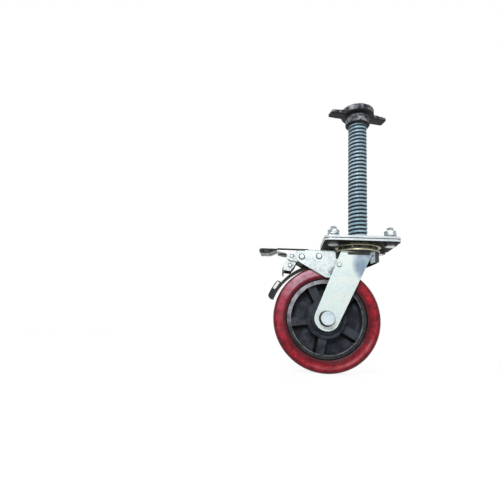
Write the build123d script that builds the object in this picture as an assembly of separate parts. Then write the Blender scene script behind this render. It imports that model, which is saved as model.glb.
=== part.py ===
from build123d import *
from math import atan2, cos, degrees, floor, hypot, pi, radians, sin, sqrt
import os

# Scaffold castor with a jack screw, a double ball race and a toggle brake on the tread.
# The screw's axis is Z and the adapter plate's top face is Z = 0.
# The wheel trails towards -X and its axle lies along Y.

# Jack screw and its weld
screw_dia = 38.0
screw_length = 294.0
screw_chamfer = 2.5
thread_pitch = 8.0
thread_depth = 2.1
groove_width = 5.2
groove_overshoot = 0.5
thread_start = 8.0
thread_below_end = 4.0
spigot_dia = 30.0
screw_weld_leg = 4.0
weld_bulge_share = 0.6

# Adapter plate and castor top plate
plate_length = 140.0
plate_width = 110.0
plate_corner = 12.0
adapter_thick = 5.0
top_plate_thick = 5.0
hole_edge_x = 17.5
hole_edge_y = 15.0
plate_bolt_dia = 12.0
plate_hole_clear = 0.5
plate_bolt_proud = 6.5
plate_bolt_edge = 1.5
head_height_share = 0.62
nut_height_share = 0.88
hex_across_share = 1.58
hex_round_share = 1.12
hex_bevel_share = 0.04
washer_dia_share = 2.0
washer_thick = 2.5

# King pin and the two ball rows
king_pin_dia = 12.0
king_head_dia = 26.0
king_head_thick = 4.5
king_pin_proud = 1.5
king_pin_edge = 1.0
dish_wall = 5.0
dish_clear = 3.0
dish_lap = 0.5
upper_ball_dia = 8.0
upper_row_radius = 34.0
upper_race_width = 20.0
upper_race_thick = 5.0
race_edge = 1.5
crown_race_set_in = 2.0
lower_ball_dia = 7.0
race_cup_width = 14.0
race_cup_clear = 3.0
race_cup_thick = 5.0
race_gap = 4.0
ball_clear = 0.05
ball_spacing_share = 1.04
ball_flat_share = 0.92
ball_bevel_share = 0.58

# Fork, with the wheel's side clearance between its legs
wheel_side_clear = 5.0
fork_sheet = 5.0
fork_bend = 4.0
crown_set_in = 4.0
crown_race_thick = 5.0
leg_top_back = 36.0
leg_top_front = 24.0
leg_end_radius = 23.0
crown_skirt_drop = 30.0
crown_skirt_front = 13.5
skirt_lap = 6.0
trail = 62.0
swivel_clear = 31.0

# Wheel
wheel_dia = 200.0
wheel_width = 50.0
tyre_depth = 21.0
tyre_shoulder = 8.0
rim_seat = 3.5
bead_step = 0.5
bead_lip = 1.0
rim_side_step = 2.0
rim_ring = 9.5
web_thick = 10.0
spoke_count = 5
spoke_width = 16.0
spoke_step = 5.0
spoke_angle = 44.0
spoke_root = 2.0
hub_radius = 38.0
hub_nose_radius = 28.0
hub_nose = 6.0
hub_clear = 1.5
hub_edge = 2.0

# Axle and wheel bearings
axle_dia = 16.0
axle_edge = 1.6
axle_proud = 3.0
sleeve_dia = 20.0
axle_clear = 0.1
axle_washer_dia = 30.0
bearing_dia = 47.0
bearing_width = 14.0
bearing_ring = 3.5

# Brake bracket, welded and riveted inside the legs
bracket_sheet = 3.0
bracket_top = -25.0
bracket_back = 46.0
bracket_nose_radius = 11.0
bracket_nose_share = 0.88
bracket_foot_height = 77.0
bracket_foot = 14.0
bracket_lap = 6.0
bracket_weld = 3.5
bracket_weld_length = 13.0
bracket_weld_drop = 5.0
rivet_dia = 6.0
rivet_head = 9.0
rivet_head_thick = 2.2
rivet_from_edge = 6.5
rivet_drop = 29.0

# Brake hinge pins: height over the tread and direction from the axle
blade_pin_height = 18.4
blade_pin_angle = 97.8
pedal_pin_height = 25.3
pedal_pin_angle = 113.0
hinge_pin_dia = 7.0
hinge_head_dia = 10.0
hinge_head_thick = 2.0
hinge_head_edge = 0.6
hinge_clear = 0.05

# Pedal, link and blade
pedal_sheet = 2.5
pedal_fold_share = 0.8
pedal_top = 16.5
pedal_reach = 84.0
pedal_lap = 13.0
flange_reach = 48.0
flange_depth = 6.0
flange_notch = 31.0
flange_notch_rise = 7.0
pedal_lobe = 9.5
pedal_tongue_step = 7.5
loop_depth = 9.5
loop_run = 33.0
loop_return = 12.0
loop_rise = 0.5
side_gap = 0.5
toggle_arm = 19.0
toggle_rise = 1.0
link_reach = 3.0
link_foot = 15.0
link_heel = 3.0
link_drop = 18.0
link_lobe = 10.0
link_sheet = 2.5
link_skirt = 9.0
link_set_back = 2.0
link_lip = 7.0
blade_thick = 3.0
blade_side_gap = 1.2
blade_ear = 3.0
blade_ear_angle = 16.0
blade_start_angle = 1.0
blade_end_angle = 161.0
tail_start_angle = 141.0
tail_flange = 8.0
tail_corner = 5.0
tail_pad = 0.8
pad_start_angle = 143.5
pad_end_angle = 149.5
pad_width = 5.4
press_gap = 2.2
link_tread_gap = 1.8
pedal_travel_angle = 50.0
link_lean_angle = 12.0
blade_travel_angle = 2.8

# Jack nut
nut_height = 38.0
nut_seat_depth = 10.0
nut_below_end = 6.0
cup_dia = 68.0
cup_height = 17.0
tube_dia = 48.3
tube_clear = 1.0
nut_hub_dia = 50.0
nut_bore_clear = 0.4
wing_span = 124.0
wing_width = 23.0
wing_drop = 1.0
wing_root_height = 11.0
wing_tip_height = 6.0
wing_root = 4.0
wing_corner = 4.0
nut_edge = 3.0
wing_angle = 17.0

# Heights and places that follow
hole_pitch_x = plate_length - 2 * hole_edge_x
hole_pitch_y = plate_width - 2 * hole_edge_y
adapter_bottom = -adapter_thick
plate_bottom = adapter_bottom - top_plate_thick
upper_race_bottom = plate_bottom - upper_race_thick
crown_race_top = upper_race_bottom - race_gap
upper_ball_z = (upper_race_bottom + crown_race_top) / 2
crown_top = crown_race_top - crown_race_thick
crown_bottom = crown_top - fork_sheet
race_cup_top = crown_bottom - race_gap
race_cup_bottom = race_cup_top - race_cup_thick
lower_ball_z = (crown_bottom + race_cup_top) / 2
wheel_radius = wheel_dia / 2
axle_x = -trail
axle_z = crown_top - swivel_clear - wheel_radius
fork_inner = wheel_width / 2 + wheel_side_clear
fork_outer = fork_inner + fork_sheet
bracket_inner = fork_inner - bracket_sheet
pedal_outer = bracket_inner - side_gap
pedal_inner = pedal_outer - pedal_sheet
link_outer = pedal_inner - side_gap
link_inner = link_outer - link_sheet
blade_half = link_inner - blade_side_gap - tail_pad
race_cup_radius = fork_inner - race_cup_clear
lower_row_radius = race_cup_radius - race_cup_width / 2
rim_radius = wheel_radius - tyre_depth
hub_half = fork_inner - hub_clear
nut_top = screw_length - nut_below_end
nut_seat = nut_top - nut_seat_depth
nut_bottom = nut_top - nut_height


def from_axle(distance, angle):
    """Point at a distance and a direction from the axle, in the XZ plane."""
    return axle_x + distance * cos(radians(angle)), axle_z + distance * sin(radians(angle))


def turn_point(point, centre, angle):
    """Point turned about a centre in the XZ plane, from +X towards +Z."""
    dx = point[0] - centre[0]
    dz = point[1] - centre[1]
    c = cos(radians(angle))
    s = sin(radians(angle))
    return centre[0] + dx * c - dz * s, centre[1] + dx * s + dz * c


blade_pin = from_axle(wheel_radius + blade_pin_height, blade_pin_angle)
pedal_pin = from_axle(wheel_radius + pedal_pin_height, pedal_pin_angle)
toggle_pin = (pedal_pin[0] - toggle_arm, pedal_pin[1] + toggle_rise)
press_pin = (toggle_pin[0] - link_reach, toggle_pin[1] - link_drop)

# The axle as the link and the blade see it when the brake is on
link_turn = pedal_travel_angle + link_lean_angle
axle_from_pedal = turn_point((axle_x, axle_z), pedal_pin, -pedal_travel_angle)
axle_from_link = turn_point(axle_from_pedal, toggle_pin, link_turn)
axle_from_blade = turn_point((axle_x, axle_z), blade_pin, -blade_travel_angle)


def side_prism(outline, y_low, y_high):
    """Solid of an XZ outline between two Y planes."""
    return Pos(0, y_high, 0) * extrude(Plane.XZ * outline, amount=y_high - y_low)


def both_sides(outline, y_low, y_high):
    """The same XZ outline on both sides of the middle plane."""
    return side_prism(outline, y_low, y_high) + side_prism(outline, -y_high, -y_low)


def disc(centre, radius):
    """Round XZ outline."""
    return Pos(*centre) * Circle(radius)


def outline(*points):
    """Straight-sided outline."""
    return make_face(Polyline(*points, close=True))


def turned(*points):
    """Solid turned about Z from points of radius and height."""
    return revolve(Plane.XZ * outline(*points), Axis.Z)


def turned_on_axle(profile):
    """Solid turned about the axle from a face of radius and Y."""
    return Pos(axle_x, 0, axle_z) * revolve(profile, Axis.Y)


def hexagon(across):
    """Hexagon across flats."""
    return RegularPolygon(across / 2, 6, major_radius=False)


def hex_block(thread_dia, z_low, height):
    """Hexagon block on Z with its corners turned off at both ends."""
    across = thread_dia * hex_across_share
    block = Pos(0, 0, z_low) * extrude(hexagon(across), height)
    crown = across / 2 * hex_round_share
    bevel = across * hex_bevel_share
    top = z_low + height
    rounder = turned((0, z_low), (crown - bevel, z_low), (crown, z_low + bevel), (crown, top - bevel),
                     (crown - bevel, top), (0, top))
    return block & rounder


def faceted_ball(diameter):
    """Ball kept to 26 flat faces, eight round its middle."""
    half = (diameter / 2 - ball_clear) * ball_flat_share
    barrel = extrude(RegularPolygon(half, 8), half, both=True)
    ends = barrel.faces().filter_by(Axis.Z).edges()
    return chamfer(ends, half * ball_bevel_share)


def ball_ring(diameter, radius, height):
    """Full ring of balls round Z."""
    count = floor(2 * pi * radius / (diameter * ball_spacing_share))
    ball = faceted_ball(diameter)
    return [Pos(0, 0, height) * place * ball for place in PolarLocations(radius, count)]


def ring_groove(diameter, radius, height):
    """Round groove that a ball row runs in."""
    return Pos(0, 0, height) * Torus(radius, diameter / 2)


def thread_groove():
    """V groove rolled along a right-hand helix, from above the weld nearly to the bar's end."""
    length = screw_length - thread_below_end - thread_start
    path = Pos(0, 0, thread_start) * Helix(thread_pitch, length, screw_dia / 2)
    mouth = groove_width / 2 * (1 + groove_overshoot / thread_depth)
    outline = Polyline((groove_overshoot, mouth), (-thread_depth, 0), (groove_overshoot, -mouth), close=True)
    section = Plane(origin=path @ 0, x_dir=(1, 0, 0), z_dir=path % 0) * make_face(outline)
    return sweep(section, path=path, is_frenet=True)


def jack_screw():
    """Threaded bar with a spigot into the adapter plate."""
    radius = screw_dia / 2
    spigot = spigot_dia / 2
    bar = turned((0, adapter_bottom), (spigot, adapter_bottom), (spigot, 0), (radius, 0),
                 (radius, screw_length - screw_chamfer), (radius - screw_chamfer, screw_length),
                 (0, screw_length))
    return bar - thread_groove()


def screw_weld():
    """Fillet weld round the foot of the screw."""
    radius = screw_dia / 2
    toe = radius + screw_weld_leg
    bulge = screw_weld_leg * weld_bulge_share
    return turned((radius, 0), (toe, 0), (radius + bulge, bulge), (radius, screw_weld_leg))


def plate_blank(thickness, z_low):
    """Plate with round corners and its four bolt holes."""
    blank = RectangleRounded(plate_length, plate_width, plate_corner)
    hole = Circle(plate_bolt_dia / 2 + plate_hole_clear)
    for place in GridLocations(hole_pitch_x, hole_pitch_y, 2, 2):
        blank -= place * hole
    return Pos(0, 0, z_low) * extrude(blank, thickness)


def adapter_plate():
    """Plate that the screw is welded into."""
    bore = Cylinder(spigot_dia / 2, 3 * adapter_thick)
    return plate_blank(adapter_thick, adapter_bottom) - bore


def top_plate():
    """Castor plate with the pressed dish for the king pin's head."""
    inner = king_head_dia / 2 + dish_clear
    outer = inner + dish_wall
    floor_z = plate_bottom - dish_wall
    dish = turned((king_pin_dia / 2, floor_z), (outer - dish_wall / 2, floor_z), (outer, plate_bottom),
                  (outer, plate_bottom + dish_lap), (inner, plate_bottom), (king_pin_dia / 2, plate_bottom))
    recess = Pos(0, 0, plate_bottom) * Cylinder(inner, top_plate_thick,
                                                align=(Align.CENTER, Align.CENTER, Align.MIN))
    return plate_blank(top_plate_thick, plate_bottom) - recess + dish


def upper_race():
    """Hardened ring under the top plate, grooved for the upper balls."""
    inner = upper_row_radius - upper_race_width / 2
    outer = upper_row_radius + upper_race_width / 2
    ring = turned((inner, upper_race_bottom), (outer - race_edge, upper_race_bottom),
                  (outer, upper_race_bottom + race_edge), (outer, plate_bottom), (inner, plate_bottom))
    return ring - ring_groove(upper_ball_dia, upper_row_radius, upper_ball_z)


def crown_race():
    """Hardened ring on the fork crown, grooved for the upper balls."""
    inner = upper_row_radius - upper_race_width / 2
    outer = upper_row_radius + upper_race_width / 2 - crown_race_set_in
    ring = turned((inner, crown_top), (outer, crown_top), (outer, crown_race_top - race_edge),
                  (outer - race_edge, crown_race_top), (inner, crown_race_top))
    return ring - ring_groove(upper_ball_dia, upper_row_radius, upper_ball_z)


def race_cup():
    """Cup under the crown that carries the lower balls."""
    inner = king_pin_dia / 2
    outer = race_cup_radius
    cup = turned((inner, race_cup_bottom), (outer - race_edge, race_cup_bottom),
                 (outer, race_cup_bottom + race_edge), (outer, race_cup_top), (inner, race_cup_top))
    return cup - ring_groove(lower_ball_dia, lower_row_radius, lower_ball_z)


def king_pin():
    """Headed pin that holds the swivel head together."""
    radius = king_pin_dia / 2
    head = king_head_dia / 2
    head_top = plate_bottom + king_head_thick
    end = race_cup_bottom - king_pin_dia * nut_height_share - king_pin_proud
    return turned((0, end), (radius - king_pin_edge, end), (radius, end + king_pin_edge),
                  (radius, plate_bottom), (head, plate_bottom), (head, head_top), (0, head_top))


def king_pin_nut():
    """Nut that sets the play of both ball rows."""
    height = king_pin_dia * nut_height_share
    bottom = race_cup_bottom - height
    bore = Pos(0, 0, bottom) * Cylinder(king_pin_dia / 2, 3 * height)
    return hex_block(king_pin_dia, bottom, height) - bore


def plate_bolts():
    """Four hexagon bolts, heads below the castor plate."""
    radius = plate_bolt_dia / 2
    head = plate_bolt_dia * head_height_share
    end = washer_thick + plate_bolt_dia * nut_height_share + plate_bolt_proud
    shank = turned((0, plate_bottom), (radius, plate_bottom), (radius, end - plate_bolt_edge),
                   (radius - plate_bolt_edge, end), (0, end))
    bolt = hex_block(plate_bolt_dia, plate_bottom - head, head) + shank
    return [place * bolt for place in GridLocations(hole_pitch_x, hole_pitch_y, 2, 2)]


def plate_washers():
    """Washers on the adapter plate under the nuts."""
    ring = Circle(plate_bolt_dia * washer_dia_share / 2) - Circle(plate_bolt_dia / 2)
    washer = extrude(ring, washer_thick)
    return [place * washer for place in GridLocations(hole_pitch_x, hole_pitch_y, 2, 2)]


def plate_nuts():
    """Nuts over the washers."""
    height = plate_bolt_dia * nut_height_share
    bore = Pos(0, 0, washer_thick) * Cylinder(plate_bolt_dia / 2, 3 * height)
    nut = hex_block(plate_bolt_dia, washer_thick, height) - bore
    return [place * nut for place in GridLocations(hole_pitch_x, hole_pitch_y, 2, 2)]


def leg_top(side):
    """X of the leg's edge at the crown; side is -1 at the brake, 1 away from it."""
    return -leg_top_back if side < 0 else leg_top_front


def leg_lean(side):
    """Lean of the leg's edge from the vertical, in radians, tangent to its round end."""
    dx = leg_top(side) - axle_x
    dz = crown_top - axle_z
    distance = hypot(dx, dz)
    return atan2(dx, dz) - side * atan2(leg_end_radius, sqrt(distance ** 2 - leg_end_radius ** 2))


def leg_edge(side, height):
    """X of the leg's edge at a height."""
    lean = leg_lean(side)
    return leg_top(side) + (height - crown_top) * sin(lean) / cos(lean)


def leg_tangent(side):
    """Point where the leg's edge runs into its round end."""
    lean = leg_lean(side)
    return axle_x + side * leg_end_radius * cos(lean), axle_z - side * leg_end_radius * sin(lean)


def leg_outline():
    """Leg that tapers down to the round end at the axle."""
    upper = outline((-leg_top_back, crown_top), (leg_top_front, crown_top), leg_tangent(1), leg_tangent(-1))
    return upper + disc((axle_x, axle_z), leg_end_radius)


def crown_radius():
    """Radius of the crown under the upper race."""
    return upper_row_radius + upper_race_width / 2 - crown_set_in


def fork():
    """Pressed fork: flat crown, two bent legs and a short drawn skirt in front."""
    length = trail + leg_end_radius + crown_radius()
    depth = crown_top - axle_z + 2 * leg_end_radius
    channel = Pos(0, crown_top - depth / 2) * Rectangle(2 * fork_outer, depth)
    channel = fillet(channel.vertices().group_by(Axis.Y)[-1], fork_bend + fork_sheet)
    hollow = Pos(0, crown_bottom - depth / 2) * Rectangle(2 * fork_inner, depth)
    hollow = fillet(hollow.vertices().group_by(Axis.Y)[-1], fork_bend)
    folded = extrude(Plane.YZ * (channel - hollow), length, both=True)
    crown = Pos(0, 0, crown_bottom - fork_bend) * extrude(Circle(crown_radius()), fork_sheet + fork_bend)
    legs = side_prism(leg_outline(), -fork_outer, fork_outer)
    body = folded & (legs + crown)
    body += crown_skirt()
    pin_hole = Pos(0, 0, crown_bottom) * Cylinder(king_pin_dia, 4 * fork_sheet)
    for hole in (disc((axle_x, axle_z), axle_dia / 2 + axle_clear), disc(rivet_place(), rivet_dia / 2)):
        body -= side_prism(hole, -2 * fork_outer, 2 * fork_outer)
    return body - pin_hole - ring_groove(lower_ball_dia, lower_row_radius, lower_ball_z)


def crown_skirt():
    """Front wall drawn down between the legs to stiffen the crown."""
    outer = crown_radius()
    low = crown_top - crown_skirt_drop
    wall = Pos(0, 0, low) * extrude(Circle(outer) - Circle(outer - fork_sheet), crown_skirt_drop)
    slope = outline((leg_edge(1, low) - skirt_lap, low), (outer, low + crown_skirt_front),
                    (outer, crown_top), (leg_edge(1, crown_top) - skirt_lap, crown_top))
    return wall & side_prism(slope, -fork_inner, fork_inner)


def rivet_place():
    """Rivet near the leg's edge, through leg and bracket."""
    height = crown_top - rivet_drop
    return leg_edge(-1, height) + rivet_from_edge, height


def bracket_outline():
    """Side of the brake bracket, from its round nose to the leg."""
    px, pz = pedal_pin
    foot_z = axle_z + bracket_foot_height
    foot_x = leg_edge(-1, foot_z) + bracket_lap
    inside_z = rivet_place()[1]
    inside_x = rivet_place()[0] + bracket_lap
    rise = bracket_nose_radius * bracket_nose_share
    side = outline((px + pedal_lap, bracket_top), (-bracket_back, bracket_top),
                   (inside_x, inside_z + bracket_lap), (inside_x, inside_z - bracket_lap),
                   (foot_x, foot_z), (foot_x - bracket_foot, foot_z),
                   (px - bracket_nose_radius / 2, pz - rise), (px, pz + rise))
    return side + disc(pedal_pin, bracket_nose_radius)


def brake_bracket():
    """Folded bracket: two side plates joined by a top web."""
    sides = both_sides(bracket_outline(), bracket_inner, fork_inner)
    web_length = -bracket_back - (pedal_pin[0] + pedal_lap)
    web_centre = -bracket_back - web_length / 2
    web_z = bracket_top - bracket_sheet / 2
    web = Pos(web_centre, 0, web_z) * Box(web_length, 2 * fork_inner, bracket_sheet)
    body = sides + web
    body = fillet(body.edges().filter_by(Axis.X).group_by(Axis.Z)[-1], bracket_sheet)
    holes = [disc(blade_pin, hinge_pin_dia / 2), disc(pedal_pin, hinge_pin_dia / 2),
             disc(rivet_place(), rivet_dia / 2)]
    for hole in holes:
        body -= side_prism(hole, -2 * fork_inner, 2 * fork_inner)
    return body


def bracket_welds():
    """Short weld beads in the corner between bracket and leg edge."""
    high_z = rivet_place()[1] - bracket_weld_drop
    low_z = high_z - bracket_weld_length
    high_x = leg_edge(-1, high_z)
    low_x = leg_edge(-1, low_z)
    bead = outline((high_x, high_z), (low_x, low_z), (low_x - bracket_weld, low_z),
                   (high_x - bracket_weld, high_z))
    return both_sides(bead, fork_inner, fork_inner + bracket_weld * weld_bulge_share).solids()


def headed_pin(place, radius, y_half, head_radius, head_thick):
    """Pin along Y with a low round head at each end."""
    pin = side_prism(disc(place, radius), -y_half, y_half)
    heads = both_sides(disc(place, head_radius), y_half, y_half + head_thick)
    rims = heads.faces().filter_by(Axis.Y).group_by(SortBy.AREA)[-1].edges()
    ends = [e for e in rims if abs(e.center().Y) > y_half + head_thick / 2]
    return pin + chamfer(ends, hinge_head_edge)


def bracket_rivets():
    """Two rivets that hold the legs and the bracket together."""
    place = rivet_place()
    shank = both_sides(disc(place, rivet_dia / 2), bracket_inner, fork_outer)
    heads = both_sides(disc(place, rivet_head / 2), fork_outer, fork_outer + rivet_head_thick)
    return (shank + heads).solids()


def pedal_pin_body():
    """Rivet pin that the pedal hinges on."""
    return headed_pin(pedal_pin, hinge_pin_dia / 2, fork_inner, hinge_head_dia / 2, hinge_head_thick)


def blade_pin_body():
    """Rivet pin that the brake blade hinges on."""
    return headed_pin(blade_pin, hinge_pin_dia / 2, fork_inner, hinge_head_dia / 2, hinge_head_thick)


def along_axle(shape):
    """Solid made on Z from the axle's middle, laid along the axle with +Z to +Y."""
    return Pos(axle_x, 0, axle_z) * Rot(-90, 0, 0) * shape


def axle_bolt():
    """Axle bolt, head on the near side."""
    radius = axle_dia / 2
    head = axle_dia * head_height_share
    head_face = -(fork_outer + washer_thick)
    end = fork_outer + washer_thick + axle_dia * nut_height_share + axle_proud
    shank = turned((0, head_face), (radius, head_face), (radius, end - axle_edge),
                   (radius - axle_edge, end), (0, end))
    return along_axle(hex_block(axle_dia, head_face - head, head) + shank)


def axle_nut():
    """Axle nut on the far side."""
    height = axle_dia * nut_height_share
    low = fork_outer + washer_thick
    bore = Pos(0, 0, low) * Cylinder(axle_dia / 2, 3 * height)
    return along_axle(hex_block(axle_dia, low, height) - bore)


def axle_washers():
    """Washers outside the legs."""
    ring = Circle(axle_washer_dia / 2) - Circle(axle_dia / 2)
    pair = [Pos(0, 0, fork_outer) * extrude(ring, washer_thick),
            Pos(0, 0, -fork_outer - washer_thick) * extrude(ring, washer_thick)]
    return [along_axle(washer) for washer in pair]


def axle_sleeve():
    """Distance tube between the legs that the bearings sit on."""
    ring = Circle(sleeve_dia / 2) - Circle(axle_dia / 2 + axle_clear)
    return along_axle(Pos(0, 0, -fork_inner) * extrude(ring, 2 * fork_inner))


def bearing_pair(inner, outer):
    """Two like rings, one at each end of the hub."""
    ring = extrude(Circle(outer) - Circle(inner), bearing_width)
    places = [hub_half - bearing_width, -hub_half]
    return [along_axle(Pos(0, 0, place) * ring) for place in places]


def bearing_inner_rings():
    """Inner rings, tight on the sleeve."""
    return bearing_pair(sleeve_dia / 2, sleeve_dia / 2 + bearing_ring)


def bearing_outer_rings():
    """Outer rings, pressed into the hub."""
    return bearing_pair(bearing_dia / 2 - bearing_ring, bearing_dia / 2)


def bearing_balls():
    """Balls between the rings of both bearings."""
    inner = sleeve_dia / 2 + bearing_ring
    outer = bearing_dia / 2 - bearing_ring
    height = hub_half - bearing_width / 2
    rows = ball_ring(outer - inner, (inner + outer) / 2, height)
    rows += ball_ring(outer - inner, (inner + outer) / 2, -height)
    return [along_axle(ball) for ball in rows]


def wheel_core():
    """Moulded core: rim, thin web, five raised spokes and a stepped hub."""
    bore = bearing_dia / 2
    passage = bore - bearing_ring
    rim_half = wheel_width / 2 - rim_side_step
    rim_inner = rim_radius - rim_seat - rim_ring
    nose = hub_half - hub_nose
    web = web_thick / 2
    seat = hub_half - bearing_width
    half = ((passage, 0), (passage, seat), (bore, seat), (bore, hub_half), (hub_nose_radius, hub_half),
            (hub_nose_radius, nose), (hub_radius - hub_edge, nose), (hub_radius, nose - hub_edge),
            (hub_radius, web), (rim_inner - hub_edge, web), (rim_inner, rim_half),
            (rim_radius - rim_seat, rim_half),
            (rim_radius, rim_half - rim_seat), (rim_radius, 0))
    mirrored = tuple((r, -y) for r, y in reversed(half[1:-1]))
    core = turned_on_axle(outline(*half, *mirrored))
    spoke_length = rim_inner - hub_radius + 2 * spoke_root
    spoke_half = rim_half - spoke_step
    spoke_middle = hub_radius - spoke_root + spoke_length / 2
    spoke = Pos(spoke_middle, 0, 0) * Box(spoke_length, 2 * spoke_half, spoke_width)
    for step in range(spoke_count):
        core += Pos(axle_x, 0, axle_z) * Rot(0, -spoke_angle - step * 360 / spoke_count, 0) * spoke
    return core


def tyre():
    """Cast tyre with round shoulders, keyed round the rim."""
    half = wheel_width / 2
    rim_half = half - rim_side_step
    bead = rim_radius - rim_seat
    corners = ((rim_radius, rim_half - rim_seat), (bead, rim_half), (bead, half - bead_step),
               (bead + bead_lip, half), (wheel_radius, half))
    mirrored = tuple((r, -y) for r, y in reversed(corners))
    profile = outline(*corners, *mirrored)
    shoulders = profile.vertices().group_by(Axis.X)[-1]
    profile = fillet(shoulders, tyre_shoulder)
    return turned_on_axle(profile)


def brake_pedal():
    """Folded pedal: top sheet, two lobed flanges and a looped tip."""
    px, pz = pedal_pin
    top = pz + pedal_top
    flange_front = px - flange_reach
    right = px + pedal_lap - side_gap
    side_top = top - pedal_sheet / 2
    side = outline((flange_front, side_top), (right, side_top), (right, pz), (px, pz - pedal_lobe),
                   (toggle_pin[0], toggle_pin[1] - pedal_lobe), (px - flange_notch, pz + flange_notch_rise),
                   (flange_front, top - flange_depth))
    side += disc(pedal_pin, pedal_lobe) + disc(toggle_pin, pedal_lobe)
    body = both_sides(side, pedal_inner, pedal_outer)
    sheet_length = right - flange_front
    sheet_place = Pos(flange_front + sheet_length / 2, 0, top - pedal_sheet / 2)
    body += sheet_place * Box(sheet_length, 2 * pedal_outer, pedal_sheet)
    folds = body.edges().filter_by(Axis.X).group_by(Axis.Z)[-1]
    body = fillet(folds, pedal_sheet * pedal_fold_share)
    body += pedal_loop(flange_front, top)
    for hole in (disc(pedal_pin, hinge_pin_dia / 2 + hinge_clear), disc(toggle_pin, hinge_pin_dia / 2)):
        body -= side_prism(hole, -2 * pedal_outer, 2 * pedal_outer)
    return body


def pedal_loop(root, top):
    """Tongue in front of the flanges, bent back under itself into an open loop."""
    tip = pedal_pin[0] - pedal_reach
    sheet = pedal_sheet
    half = pedal_outer - pedal_tongue_step
    bend = loop_depth / 2
    low = top - loop_depth
    turn_back = tip + loop_run - loop_return
    outer = outline((root + sheet, top), (tip + bend, top), (tip + bend, low), (turn_back, low + loop_rise),
                    (tip + loop_run, top - 1.6 * sheet), (root + sheet, top - sheet))
    outer += disc((tip + bend, top - bend), bend)
    hollow = outline((tip + bend, top - sheet), (tip + bend, low + sheet),
                     (turn_back - sheet / 2, low + loop_rise + sheet),
                     (tip + loop_run - 2 * sheet, top - sheet))
    hollow += disc((tip + bend, top - bend), bend - sheet)
    return side_prism(outer - hollow, -half, half)


def toggle_pin_body():
    """Pin fixed in the pedal's flanges that carries the link."""
    return side_prism(disc(toggle_pin, hinge_pin_dia / 2), -pedal_outer, pedal_outer)


def link_outline():
    """Side of the link, cut round so that it clears the tread when the brake is on."""
    tx, tz = toggle_pin
    px, pz = press_pin
    lobe = link_lobe
    side = outline((tx - lobe - link_set_back, tz - link_set_back), (px - link_foot, pz - link_skirt),
                   (px + link_heel, pz - link_skirt - link_set_back),
                   (tx + lobe - link_set_back, tz - link_reach - lobe), (tx + lobe, tz))
    side += disc(toggle_pin, lobe)
    return side - disc(axle_from_link, wheel_radius + link_tread_gap)


def toggle_link():
    """Folded link that the pedal drives down on the blade: two flanges and a front web."""
    tx, tz = toggle_pin
    body = both_sides(link_outline(), link_inner, link_outer)
    top_x = tx - link_lobe - link_set_back
    top_z = tz - link_set_back
    low_x = press_pin[0] - link_foot
    low_z = press_pin[1] - link_skirt
    lip_z = low_z - link_lip
    strip = outline((top_x, top_z), (low_x, low_z), (low_x, lip_z), (low_x + link_sheet, lip_z),
                    (low_x + link_sheet, low_z), (top_x + link_sheet, top_z))
    body += side_prism(strip, -link_outer, link_outer)
    for hole in (disc(toggle_pin, hinge_pin_dia / 2 + hinge_clear), disc(press_pin, hinge_pin_dia / 2)):
        body -= side_prism(hole, -2 * link_outer, 2 * link_outer)
    return body


def press_pin_body():
    """Cross pin of the link that presses on the blade."""
    return side_prism(disc(press_pin, hinge_pin_dia / 2), -link_outer, link_outer)


def blade_point(radius, angle):
    """Point about the place that the axle has for the pressed blade."""
    c = cos(radians(angle))
    s = sin(radians(angle))
    return axle_from_blade[0] + radius * c, axle_from_blade[1] + radius * s


def blade_band(low, high, start, end):
    """Outline of a strip round the tread, between two radii and two directions."""
    wedge = outline(axle_from_blade, blade_point(2 * high, start),
                    blade_point(2 * high, (start + end) / 2), blade_point(2 * high, end))
    return (disc(axle_from_blade, high) - disc(axle_from_blade, low)) & wedge


def brake_blade():
    """Spring-steel blade curved round the tread, with hinge ears and a flanged tail."""
    inner = wheel_radius + press_gap
    outer = inner + blade_thick
    start = blade_pin_angle + blade_start_angle
    half = blade_half
    body = side_prism(blade_band(inner, outer, start, blade_end_angle), -half, half)
    body += both_sides(blade_ear_outline(outer, start), half - blade_ear, half)
    body += both_sides(tail_flange_outline(inner, outer), half - blade_ear, half)
    body += both_sides(tail_pad_outline(outer), half, half + tail_pad)
    hole = disc(blade_pin, hinge_pin_dia / 2 + hinge_clear)
    return body - side_prism(hole, -2 * half, 2 * half)


def blade_ear_outline(outer, start):
    """Ear between the curved blade and its hinge pin."""
    lobe = hinge_pin_dia
    low = outer - blade_thick / 2
    back = turn_point((blade_pin[0] - lobe, blade_pin[1]), blade_pin, 25)
    ear = outline(blade_point(low, start), blade_point(low, start + blade_ear_angle), back, blade_pin,
                  (blade_pin[0] + lobe, blade_pin[1]))
    return ear + disc(blade_pin, lobe)


def tail_flange_outline(inner, outer):
    """Stiffening flange that stands outwards from the tail, its two outer corners round."""
    flange = blade_band(inner, outer + tail_flange, tail_start_angle, blade_end_angle)
    corners = [v for v in flange.vertices()
               if hypot(v.X - axle_from_blade[0], v.Y - axle_from_blade[1]) > outer + tail_flange / 2]
    return fillet(corners, tail_corner)


def tail_pad_outline(outer):
    """Oblong raised pad pressed out of the tail's flange."""
    radius = outer + (tail_flange - tail_pad) / 2
    near = blade_point(radius, pad_start_angle)
    far = blade_point(radius, pad_end_angle)
    run = hypot(far[0] - near[0], far[1] - near[1])
    slope = degrees(atan2(far[1] - near[1], far[0] - near[0]))
    middle = Pos((near[0] + far[0]) / 2, (near[1] + far[1]) / 2)
    return middle * Rot(0, 0, slope) * SlotCenterToCenter(run, pad_width)


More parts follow.
